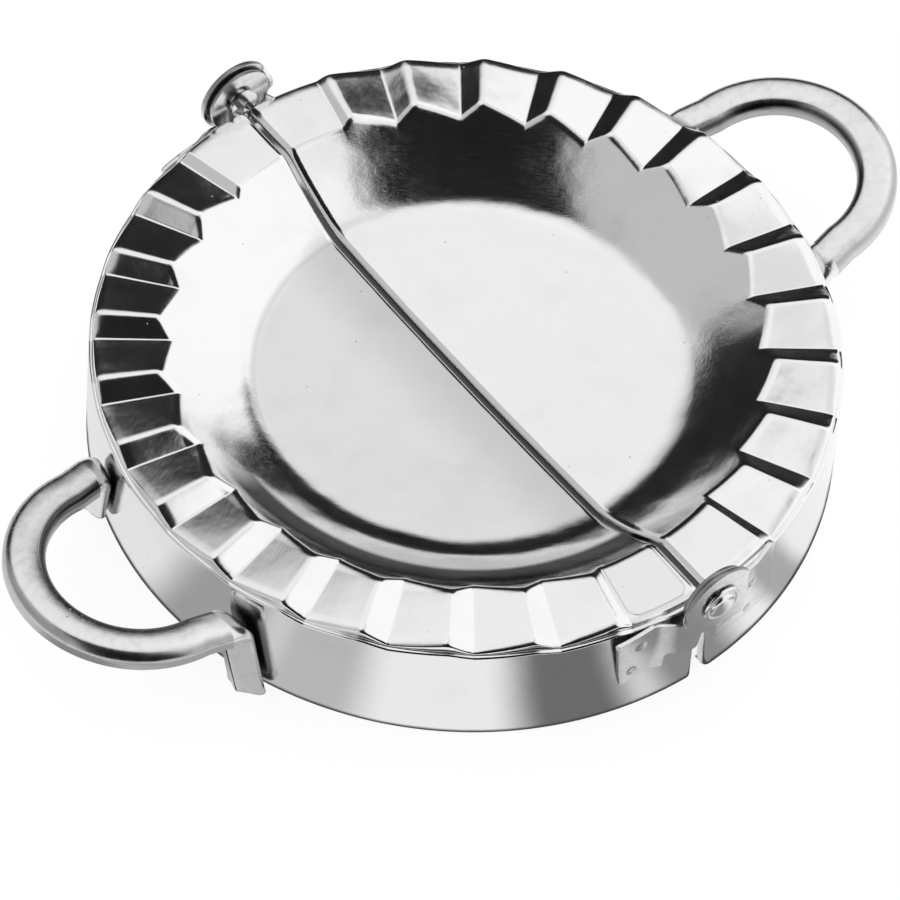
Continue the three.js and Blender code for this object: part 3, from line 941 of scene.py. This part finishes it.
def ear_mesh(sizes, dish, axis, face, top, end):
    """Plate of the left half, whose ear lies behind the disc"""
    outline = rounded([
        *arc(sizes.ear_radius, axis, -QUARTER_TURN / 2, HALF_TURN * 4 / 3),
        *corners(
            (1.2, 11.5, 0.8), (1.8, 8, 0.8), (2.9, 8.1, 0.3), (6.5, 10.1, 0.9), (6.6, 6.9, 0.4),
            (12.15, 6, 0.4), (13.7, top / MM - 0.6, 0.4), (8.2, top / MM, 0.4),
        ),
    ])

    def depth_at(x, z):
        across, up = x / MM, z / MM
        corner = eased(up, 8, 15, 1) * eased(across, 7, 13, 1)
        raised = max(eased(up, 6.5, 12, 1), eased(across, 9.5, 12.5, 0.5))
        proud = 0.08 * MM + sizes.sheet * raised + (sizes.gap + sizes.stand_off) * corner
        return jogged(dish, x, z, face, proud, eased(across, 4.9, 7.6, 0.6))

    return plate_mesh(outline, sizes.hole_radius, axis, depth_at, sizes.sheet, -1, end)


def disc_mesh(sizes, dish, axis, face, top, end):
    """Plate of the right half, whose raised disc turns on the rivet"""
    disc = sizes.disc_radius
    bottom = sizes.bottom / MM
    outline = rounded([
        *arc(disc, axis, math.asin((top - axis) / disc), -QUARTER_TURN + 2 * HALF_TURN),
        *corners((1.9, 11, 0.4), (2, bottom, 0.4), (12, bottom, 0.8), (12, top / MM, 0.8)),
    ])

    def depth_at(x, z):
        across, up = x / MM, z / MM
        beside = eased(across, 4.7, 5.3, 0.25)
        below = eased(12.5 - up, 0, 5, 0.5)
        raised = eased(up, 8, 15, 1) * eased(12 - across, 0, 4, 0.5)
        proud = 0.05 * MM + (sizes.gap + sizes.sheet) * raised
        return jogged(dish, x, z, face, proud, 1 - (1 - beside) * (1 - below))

    return plate_mesh(outline, sizes.hole_radius, axis, depth_at, sizes.disc_sheet, 1, end)


def rivet_mesh(sizes, axis, ear_face, head_seat, end):
    """Rivet turned about the pin's axis, with a flat head and a button on it"""
    tail_outer = ear_face - TAIL_DEPTH
    tail_inner = tail_outer - TAIL_SHEET
    tail = sizes.tail_radius
    head = sizes.head_radius
    edge = sizes.head_edge
    button = head * BUTTON_SHARE
    foot = head_seat + BUTTON_FOOT
    profile = [
        (0, tail_inner), (tail, tail_inner), (tail, tail_outer),
        (sizes.shank_radius, tail_outer), (sizes.shank_radius, head_seat), (head, head_seat),
    ]
    for i in range(HEAD_EDGE_STEPS + 1):
        across, up = on_circle(edge, QUARTER_TURN * i / HEAD_EDGE_STEPS)
        profile.append((head - edge + across, head_seat + up))
    profile += [(button + GROOVE_OUTER, foot), (button + GROOVE_INNER, head_seat + GROOVE_FOOT)]
    for i in range(BUTTON_STEPS + 1):
        turn = QUARTER_TURN * i / BUTTON_STEPS
        profile.append((button * math.cos(turn), foot + BUTTON_RISE * math.sin(turn)))
    points = []
    for turn in turns_of(RIVET_STEPS):
        for radius, out in profile:
            across, up = on_circle(radius, turn)
            points.append((across, end * out, axis + up))
    faces = strips(RIVET_STEPS, len(profile), rows_closed=True, closed=False)
    return finished(mesh_of("rivet", points, faces), [], sharp=50)


# Materials


# Share of the shown grey that polished steel gives back
STEEL_SHOWS = 0.965
ROUGHNESS_LIMITS = (0.05, 0.9)
CELLS_WITHOUT_DUST = 0.62
# Painted dark reflection in a band on the wall under the rim, round this radius
REFLECTION_BAND_RADIUS = 34.1 * MM
# Sunk field on the level pad: how far in its middle lies, its turn and its corners
FIELD_IN = 0.8 * MM
FIELD_TURN = 0.014
FIELD_CORNER = 1.5 * MM
# Spot welds of the plates in millimetres, as (across, up)
WELD_DIMPLES = ((-10.1, 13.6), (-10.6, 8.2), (7.6, 12.3), (7.7, 6.5))


def grey(level):
    """Light that shows as this grey of 255 on polished steel"""
    shown = level / 255 / STEEL_SHOWS
    return ((shown + 0.055) / 1.055) ** 2.4


def cover(under, over, mask):
    return under + (over - under) * mask


def new_material(name):
    material = bpy.data.materials.new(name)
    material.use_nodes = True
    material.node_tree.nodes.clear()
    return material, Nodes(material.node_tree)


def noise(nodes, where, scale, detail=2):
    """Even noise with this many swells to a metre"""
    return nodes.add("ShaderNodeTexNoise", {"Vector": where, "Scale": scale, "Detail": detail})


def grain(nodes, where, turn, along, across):
    """Noise in long lines that run at a turn from X, with their length and width"""
    sockets = {"Vector": where, "Rotation": (0, 0, turn), "Scale": (along, across, across)}
    return noise(nodes, nodes.add("ShaderNodeMapping", sockets, {"vector_type": "TEXTURE"}), 1, 3)


def dust(nodes, where, scale, size):
    """Specks of dust, at most one in each cell"""
    cells = nodes.add("ShaderNodeTexVoronoi", {"Vector": where, "Scale": scale}, output=None)
    near, cell_colour = nodes.named(cells, "Distance", "Color")
    kind = nodes.add("ShaderNodeSeparateColor", {0: cell_colour})
    return nodes.step(near, size * scale, size * scale / 2) * (kind > CELLS_WITHOUT_DUST)


def finish(nodes, colour, shades, rough, heights):
    """Steel of a colour and roughness. Each shade, as (mask, factor), multiplies the colour where
    its mask is 1, and bump heights are given as (height, metres)."""
    colour = (*colour, 1)
    for mask, factor in shades:
        sockets = {0: mask, 6: colour, 7: (factor, factor, factor, 1)}
        settings = {"data_type": "RGBA", "blend_type": "MULTIPLY"}
        colour = nodes.add("ShaderNodeMix", sockets, settings, output=2)
    under = {}
    for height, distance in heights:
        sockets = {"Height": height, "Distance": distance, "Strength": 1, **under}
        under = {"Normal": nodes.add("ShaderNodeBump", sockets)}
    rough = rough.within(*ROUGHNESS_LIMITS)
    sockets = {"Base Color": colour, "Metallic": 1, "Roughness": rough, **under}
    shader = nodes.add("ShaderNodeBsdfPrincipled", sockets)
    nodes.add("ShaderNodeOutputMaterial", {"Surface": shader}, output=None)


def dish_steel(dish, finishes):
    """Polished sheet with swells from the press, fine scratches and dust. On the left half the
    floor has painted shade, deeper in a ring at its edge and towards the seam, and a band of
    painted dark reflection runs under the front of the rim."""
    material, nodes = new_material("Dish steel")
    where = nodes.where()
    x, y, _ = nodes.apart(where)
    left = x < 0
    radius = (x * x + y * y).sqrt()
    swells = noise(nodes, where, 60)
    ripples = noise(nodes, where, 330)
    polish = grain(nodes, where, 0.55, 25 * MM, 0.22 * MM)
    scratches = grain(nodes, where, -0.8, 9 * MM, 0.16 * MM)
    specks = dust(nodes, where, 420, 0.16 * MM)
    worn = nodes.step(noise(nodes, where, 120, 4), 0.5, 0.7)
    # Painted shade on the left half's floor, deeper in a ring at its edge and towards the seam
    shaded_floor_radius = dish.floor_radius + 2 * MM
    floor = left * nodes.step(radius, shaded_floor_radius + 0.3 * MM, shaded_floor_radius - 0.4 * MM)
    painted_floor_ring_shade = left * nodes.step(abs(radius - shaded_floor_radius), 0.6 * MM, 0.1 * MM)
    painted_seam_side_shade = floor * nodes.step(x, -11 * MM, -1 * MM)
    # Painted dark reflection in a band on the wall under the front of the rim
    painted_rim_reflection = left * nodes.step(abs(radius - REFLECTION_BAND_RADIUS), 2.3 * MM, 1.2 * MM)
    painted_rim_reflection = painted_rim_reflection * nodes.step(y, 6 * MM, -2 * MM)
    flange = left * nodes.step(radius, 37 * MM, 39 * MM)
    wall = nodes.step(radius, dish.floor_radius - 2 * MM, dish.floor_radius + 2 * MM)
    wall = wall * nodes.step(radius, dish.pad_radius - 8 * MM, dish.pad_radius - 10 * MM)
    # Painted shade along the border and over the inside of the sunk field, whose inside also sinks
    # by a bump
    border, pad = level_pad(nodes, dish, x, y, radius)
    shades = (
        (floor, 0.87), (painted_floor_ring_shade, 0.85), (painted_seam_side_shade, 0.8), (painted_rim_reflection, 0.07), (worn, 0.965),
        (pad, 0.95), (border, 0.74),
    )
    rough = finishes.dish_gloss + (ripples - 0.5) * 0.05 + (polish - 0.5) * 0.1
    rough = cover(rough + wall * (scratches - 0.5) * 0.2, 0.75, specks)
    heights = (
        (swells * (1 - 0.5 * flange), 0.5 * MM), (ripples, 0.03 * MM), (polish, 0.004 * MM),
        (wall * scratches, 0.005 * MM), (pad, 0.03 * MM),
    )
    finish(nodes, finishes.dish, shades, rough, heights)
    return material


def level_pad(nodes, dish, x, y, radius):
    """Masks of painted shade on the border and inside of the left half's front pad's sunk field"""
    pitch = HALF_TURN / dish.pleats
    middle = dish.pad_radius - dish.flange_width / 2 - FIELD_IN
    corner = FIELD_CORNER
    turn = abs(x).atan2(-y) - (pitch / 2 + FIELD_TURN)
    out = abs(radius - middle) - (dish.flange_width / 2 - 0.1 * MM - corner)
    beside = abs(turn * middle) - (pitch * middle / 2 - 0.9 * MM - corner)
    past_out = out.most(0)
    past_beside = beside.most(0)
    inner = out.most(beside).least(0)
    away = (past_out * past_out + past_beside * past_beside).sqrt() + inner - corner
    front_left = (x < 0) * (y < 0)
    border = front_left * nodes.step(abs(away), 0.24 * MM, 0)
    return border, front_left * nodes.step(away, 0.15 * MM, -0.15 * MM)


def handle_steel(finishes):
    """Duller rolled strip, mottled and faintly brushed; painted shade on its edges and by the
    skirt
    """
    material, nodes = new_material("Handle steel")
    where = nodes.where()
    x, y, z = nodes.apart(where)
    swells = noise(nodes, where, 140)
    mottle = noise(nodes, where, 900, 5)
    pits = nodes.step(noise(nodes, where, 1700, 3), 0.6, 0.72)
    brush = grain(nodes, where, 0, 12 * MM, 0.25 * MM)
    patch = nodes.step(noise(nodes, where, 95), 0.52, 0.66) * nodes.step(z, 9 * MM, 12 * MM)
    # Painted shade on the faces in the narrow gap beside the skirt
    skirt_gap_shade = nodes.step((x * x + y * y).sqrt(), 49.4 * MM, 48.8 * MM)
    skirt_gap_shade = skirt_gap_shade * nodes.step(z, 12.5 * MM, 11 * MM)
    shades = (
        (nodes.step(mottle, 0.45, 0.75), 0.93), (nodes.attribute("turned_edge_shade"), 0.1),
        (skirt_gap_shade, 0.3),
    )
    rough = finishes.handle_gloss + (mottle - 0.5) * 0.16 + (brush - 0.5) * 0.08
    rough = rough + patch * pits * 0.25
    heights = (
        (swells, 0.1 * MM), (mottle, 0.012 * MM), (brush, 0.003 * MM), (patch * pits, 0.014 * MM),
    )
    finish(nodes, finishes.handle, shades, rough, heights)
    return material


def plate_steel(finishes):
    """Stamped sheet with spot-weld dimples, and rougher cut edges with painted shade round the pin
    """
    material, nodes = new_material("Plate steel")
    where = nodes.where()
    x, _, z = nodes.apart(where)
    swells = noise(nodes, where, 220)
    mottle = noise(nodes, where, 1100, 4)
    brush = grain(nodes, where, 0.2, 7 * MM, 0.2 * MM)
    # Cut edges: rougher, and darkened by painted shade round the pin, deeper above it
    cut = nodes.attribute("shaded_cut_edge")
    dimples = 0
    for across, up in WELD_DIMPLES:
        away = ((x - across * MM) ** 2 + (z - up * MM) ** 2).sqrt()
        dimples = dimples + nodes.step(away, 0.95 * MM, 0.25 * MM)
    shades = ((nodes.step(mottle, 0.4, 0.8), 0.9), (dimples, 0.85), (cut, 0.42))
    rough = finishes.plate_gloss + (mottle - 0.5) * 0.12 + (brush - 0.5) * 0.08 + cut * 0.15
    heights = (
        (swells, 0.06 * MM), (mottle, 0.006 * MM), (brush, 0.003 * MM), (dimples, -0.16 * MM),
    )
    finish(nodes, finishes.plate, shades, rough, heights)
    return material


def rivet_steel(finishes):
    """Bright steel of the rivets, faintly mottled"""
    material, nodes = new_material("Rivet steel")
    where = nodes.where()
    mottle = noise(nodes, where, 1300, 3)
    shades = ((nodes.step(mottle, 0.45, 0.8), 0.9),)
    rough = finishes.rivet_gloss + (mottle - 0.5) * 0.1
    heights = ((noise(nodes, where, 420), 0.05 * MM), (mottle, 0.004 * MM))
    finish(nodes, finishes.rivet, shades, rough, heights)
    return material


# Studio


DEGREES = 180 / math.pi
FLOOR_REACH = 3
FLOOR_GREY = 0.9
FLOOR_GLOW = 1.09
FLOOR_GLOW_SHARE = 0.8
WORLD_LIGHT = 0.85
TENT_RADIUS = 1.2
TENT_FOOT = -0.05
SHADES_INNER = 1 * MM
SHADES_OUTER = 110 * MM
SHADES_HEIGHT = 0.02 * MM
SHADES_STEPS = 96
SHADE_CORE = 0.3
TENT_GREY = 239
SHADES_GREY = 236
# Shades on the table, as (turn in degrees, half width in degrees, grey), each full over its core
TABLE_SHADES = (
    (-118, 44, 226), (-82, 15, 156), (-62, 13, 184), (-20, 14, 108), (1, 12, 138), (22, 7, 170),
    (75, 45, 250), (150, 40, 200),
)


def covered_light(nodes, light, covers):
    """Light behind covers, given as (grey, smooth steps), that hide it where all steps are 1"""
    for level, steps in covers:
        mask = math.prod(nodes.step(*limits) for limits in steps)
        light = cover(light, grey(level), mask)
    return light


def glow(nodes, light):
    """End a material in this light, the same in red, green and blue"""
    colour = nodes.add("ShaderNodeCombineXYZ", {0: light, 1: light, 2: light})
    shader = nodes.add("ShaderNodeEmission", {"Color": colour, "Strength": 1})
    nodes.add("ShaderNodeOutputMaterial", {"Surface": shader}, output=None)


def mirrored_only(name, mesh, material):
    """A stage piece that only mirrored rays see"""
    mesh.materials.append(material)
    obj = placed(name, mesh)
    for ray in ("camera", "diffuse", "shadow", "volume_scatter"):
        setattr(obj, f"visible_{ray}", False)


def floor_piece(backdrop):
    """Pale floor that keeps the mould's shadow"""
    reach = FLOOR_REACH
    around = [(-reach, -reach, 0), (reach, -reach, 0), (reach, reach, 0), (-reach, reach, 0)]
    mesh = mesh_of("floor", around, [(0, 1, 2, 3)])
    material, nodes = new_material("Floor")
    path = nodes.add("ShaderNodeLightPath", output=None)
    camera, glossy = nodes.named(path, "Is Camera Ray", "Is Glossy Ray")
    seen = camera.most(glossy)
    matt = nodes.add("ShaderNodeBsdfDiffuse", {"Color": (FLOOR_GREY, FLOOR_GREY, FLOOR_GREY, 1)})
    bright = nodes.add("ShaderNodeEmission", {"Color": (*backdrop, 1), "Strength": FLOOR_GLOW})
    shader = nodes.add("ShaderNodeMixShader", {0: seen * FLOOR_GLOW_SHARE, 1: matt, 2: bright})
    nodes.add("ShaderNodeOutputMaterial", {"Surface": shader}, output=None)
    mesh.materials.append(material)
    placed("floor", mesh)


def backdrop_world():
    """White backdrop, which the steel shows too, and even soft light"""
    world = bpy.data.worlds.new("Backdrop")
    world.use_nodes = True
    world.node_tree.nodes.clear()
    nodes = Nodes(world.node_tree)
    path = nodes.add("ShaderNodeLightPath", output=None)
    rays = nodes.named(path, "Is Camera Ray", "Is Glossy Ray", "Is Transmission Ray")
    strength = WORLD_LIGHT + (1 - WORLD_LIGHT) * rays[0].most(rays[1]).most(rays[2])
    sockets = {"Color": (1, 1, 1, 1), "Strength": strength}
    background = nodes.add("ShaderNodeBackground", sockets)
    nodes.add("ShaderNodeOutputWorld", {"Surface": background}, output=None)
    return world


def tent():
    """Light tent with windows and dark cloths, which only the steel mirrors. Turns count from the
    front of the mould and rises from the table, in degrees."""
    mesh = bpy.data.meshes.new("tent")
    with worked(mesh) as work:
        bmesh.ops.create_icosphere(work, subdivisions=5, radius=TENT_RADIUS)
        below = [vert for vert in work.verts if vert.co.z < TENT_FOOT]
        bmesh.ops.delete(work, geom=below, context="VERTS")
    material, nodes = new_material("Tent cloth")
    ray = nodes.add("ShaderNodeVectorMath", {0: nodes.where()}, {"operation": "NORMALIZE"})
    x, y, z = nodes.apart(ray)
    turn = x.atan2(-y) * DEGREES
    rise = z.asin() * DEGREES
    behind = (turn - 150) * (turn > -30) + (turn + 210) * (turn < -29.999)
    edge = 39.5 - 5.5 * nodes.step(behind, -12, 2) + 3 * nodes.step(behind, 20, 45)
    right_end = x - 0.08 * nodes.step(rise, 58, 68)
    glow(nodes, covered_light(nodes, grey(TENT_GREY), (
        # Windows and the duller cloths between them
        (252, ((turn, 28, 42), (turn, 128, 112), (rise, 66, 58))),
        (246, ((turn, 125, 145), (rise, 62, 72))),
        (222, ((turn, 70, 90), (turn, 118, 106), (rise, 60, 65), (rise, 80, 70))),
        (160, ((rise, 75, 92),)),
        # Left side and its top
        (190, ((turn, -172, -160), (turn, -62, -90), (rise, 70, 58))),
        (45, ((turn, -165, -120), (turn, -60, -90), (rise, 58, 72))),
        # Dark cloth at the back, with its soft upper edge
        (120, ((rise, 50, 27), (behind, -22, -8), (behind, 55, 30))),
        (30, ((rise - edge, 3, -3), (behind, 55, 44), (behind, -44, -34))),
        # Dark cloth over the camera's side
        (27, ((right_end, 0.2, 0.08), (y + 0.35 * x, 0.18, 0.02), (y - 0.8 * x, 0.46, 0.28))),
    )))
    mirrored_only("tent", mesh, material)


def table_shades():
    """Thin ring of painted shades and shadow on the table, for the skirt and the handles to mirror
    """
    points = []
    for radius in (SHADES_OUTER, SHADES_INNER):
        points += [(*on_circle(radius, turn), SHADES_HEIGHT) for turn in turns_of(SHADES_STEPS)]
    mesh = mesh_of("ring", points, strips(2, SHADES_STEPS))
    material, nodes = new_material("Table shades")
    x, y, _ = nodes.apart(nodes.where())
    turn = x.atan2(-y) * DEGREES
    foot = (x * x + y * y).sqrt() / MM
    covers = [
        (level, ((abs(turn - middle), reach, reach * SHADE_CORE),))
        for middle, reach, level in TABLE_SHADES
    ]
    # Painted shadow on the table under the mould, paler towards its edge, and a dark line of it at
    # the skirt's foot
    covers += [
        (205, ((foot, 47.7, 47.2),)), (80, ((foot, 44.5, 43),)),
        (70, ((foot, 48.55, 48.2), (foot, 47.4, 47.8))),
    ]
    glow(nodes, covered_light(nodes, grey(SHADES_GREY), covers))
    mirrored_only("table_shades", mesh, material)


# Operators


class MOULD_OT_halves(bpy.types.Operator):
    """Make both pleated halves"""

    bl_idname = "mould.halves"
    bl_label = "Pleated halves"

    def execute(self, context):
        sizes = context.scene.mould_dish
        material = dish_steel(sizes, context.scene.mould_finishes)
        for name, side in (("left", -1), ("right", 1)):
            mesh = pleated_mesh(sizes, side, material)
            piece(f"{name}_pleated_half", mesh, f"{name}_half", [f"{name}_dish"], material)
        return {"FINISHED"}


class MOULD_OT_handles(bpy.types.Operator):
    """Make both loop handles"""

    bl_idname = "mould.handles"
    bl_label = "Loop handles"

    def execute(self, context):
        scene = context.scene
        sizes = scene.mould_handle
        steel = handle_steel(scene.mould_finishes)
        for name, side, splay, shift in (
            ("left", -1, sizes.left_splay, sizes.left_shift),
            ("right", 1, sizes.right_splay, sizes.right_shift),
        ):
            mesh = handle_mesh(sizes, scene.mould_dish, side, splay, shift)
            piece(f"{name}_loop_handle", mesh, f"{name}_half", [f"{name}_handle"], steel)
        return {"FINISHED"}


class MOULD_OT_hinge(bpy.types.Operator):
    """Make the four hinge plates and both rivets"""

    bl_idname = "mould.hinge"
    bl_label = "Hinge plates and rivets"

    def execute(self, context):
        scene = context.scene
        sizes = scene.mould_hinge
        dish = scene.mould_dish
        steel = plate_steel(scene.mould_finishes)
        bright = rivet_steel(scene.mould_finishes)
        axis = dish.pleat_height + sizes.axis_rise
        ear_face = skirt_radius(dish, 0) + sizes.ear_rise
        disc_face = ear_face + sizes.disc_rise
        head_seat = disc_face + sizes.head_rise
        for name, end, top in (("front", -1, FRONT_PLATE_TOP), ("back", 1, sizes.back_top)):
            ear = ear_mesh(sizes, dish, axis, ear_face, top, end)
            disc = disc_mesh(sizes, dish, axis, disc_face, top, end)
            rivet = rivet_mesh(sizes, axis, ear_face, head_seat, end)
            for made, mesh, side, node, slot, material in (
                ("ear_plate", ear, "left", "left_hinge_plate", "plate", steel),
                ("disc_plate", disc, "right", "right_hinge_plate", "plate", steel),
                ("pin_rivet", rivet, "left", "rivet", "rivet", bright),
            ):
                piece(f"{name}_{made}", mesh, f"{side}_half", [f"{name}_{node}"], material)
        return {"FINISHED"}


class MOULD_OT_stage(bpy.types.Operator):
    """Make the camera, the floor and the light"""

    bl_idname = "mould.stage"
    bl_label = "Camera and studio"

    def execute(self, context):
        scene = context.scene
        sizes = scene.mould_stage
        data = bpy.data.cameras.new("Camera")
        data.lens = sizes.lens
        data.sensor_width = 36
        data.clip_start = 0.01
        data.clip_end = 10
        camera = placed("Camera", data)
        back = Vector((
            math.sin(sizes.azimuth) * math.cos(sizes.elevation),
            -math.cos(sizes.azimuth) * math.cos(sizes.elevation),
            math.sin(sizes.elevation),
        ))
        level = Vector((math.cos(sizes.azimuth), math.sin(sizes.azimuth), 0))
        upright = back.cross(level)
        right = level * math.cos(sizes.roll) + upright * math.sin(sizes.roll)
        up = upright * math.cos(sizes.roll) - level * math.sin(sizes.roll)
        turn = Matrix((right, up, back)).transposed().to_4x4()
        place = Matrix.Translation(Vector(sizes.target) + back * sizes.distance)
        camera.matrix_world = place @ turn
        scene.camera = camera
        scene.view_settings.view_transform = "Standard"
        floor_piece(sizes.backdrop)
        tent()
        table_shades()
        scene.world = backdrop_world()
        return {"FINISHED"}


class MOULD_PT_panel(bpy.types.Panel):
    """Lists what the mould is made of"""

    bl_idname = "MOULD_PT_panel"
    bl_label = "Ravioli mould"
    bl_space_type = "VIEW_3D"
    bl_region_type = "UI"
    bl_category = "Mould"

    def draw(self, context):
        for operator in OPERATORS:
            self.layout.operator(operator.bl_idname)
        for name in GROUPS:
            group = getattr(context.scene, name)
            box = self.layout.box()
            for setting in own_settings(group):
                box.prop(group, setting)


OPERATORS = (MOULD_OT_stage, MOULD_OT_halves, MOULD_OT_handles, MOULD_OT_hinge)
GROUPS = {
    "mould_dish": DishSizes,
    "mould_handle": HandleSizes,
    "mould_hinge": HingeSizes,
    "mould_finishes": Finishes,
    "mould_stage": StageSizes,
}
CLASSES = (*GROUPS.values(), *OPERATORS, MOULD_PT_panel)


def register():
    for made in CLASSES:
        bpy.utils.register_class(made)
    for name, group in GROUPS.items():
        setattr(bpy.types.Scene, name, bpy.props.PointerProperty(type=group))


def unregister():
    for name in GROUPS:
        delattr(bpy.types.Scene, name)
    for made in reversed(CLASSES):
        bpy.utils.unregister_class(made)


def main():
    register()
    bpy.ops.mould.stage()
    bpy.ops.mould.halves()
    bpy.ops.mould.handles()
    bpy.ops.mould.hinge()
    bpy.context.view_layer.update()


if __name__ == "__main__":
    main()
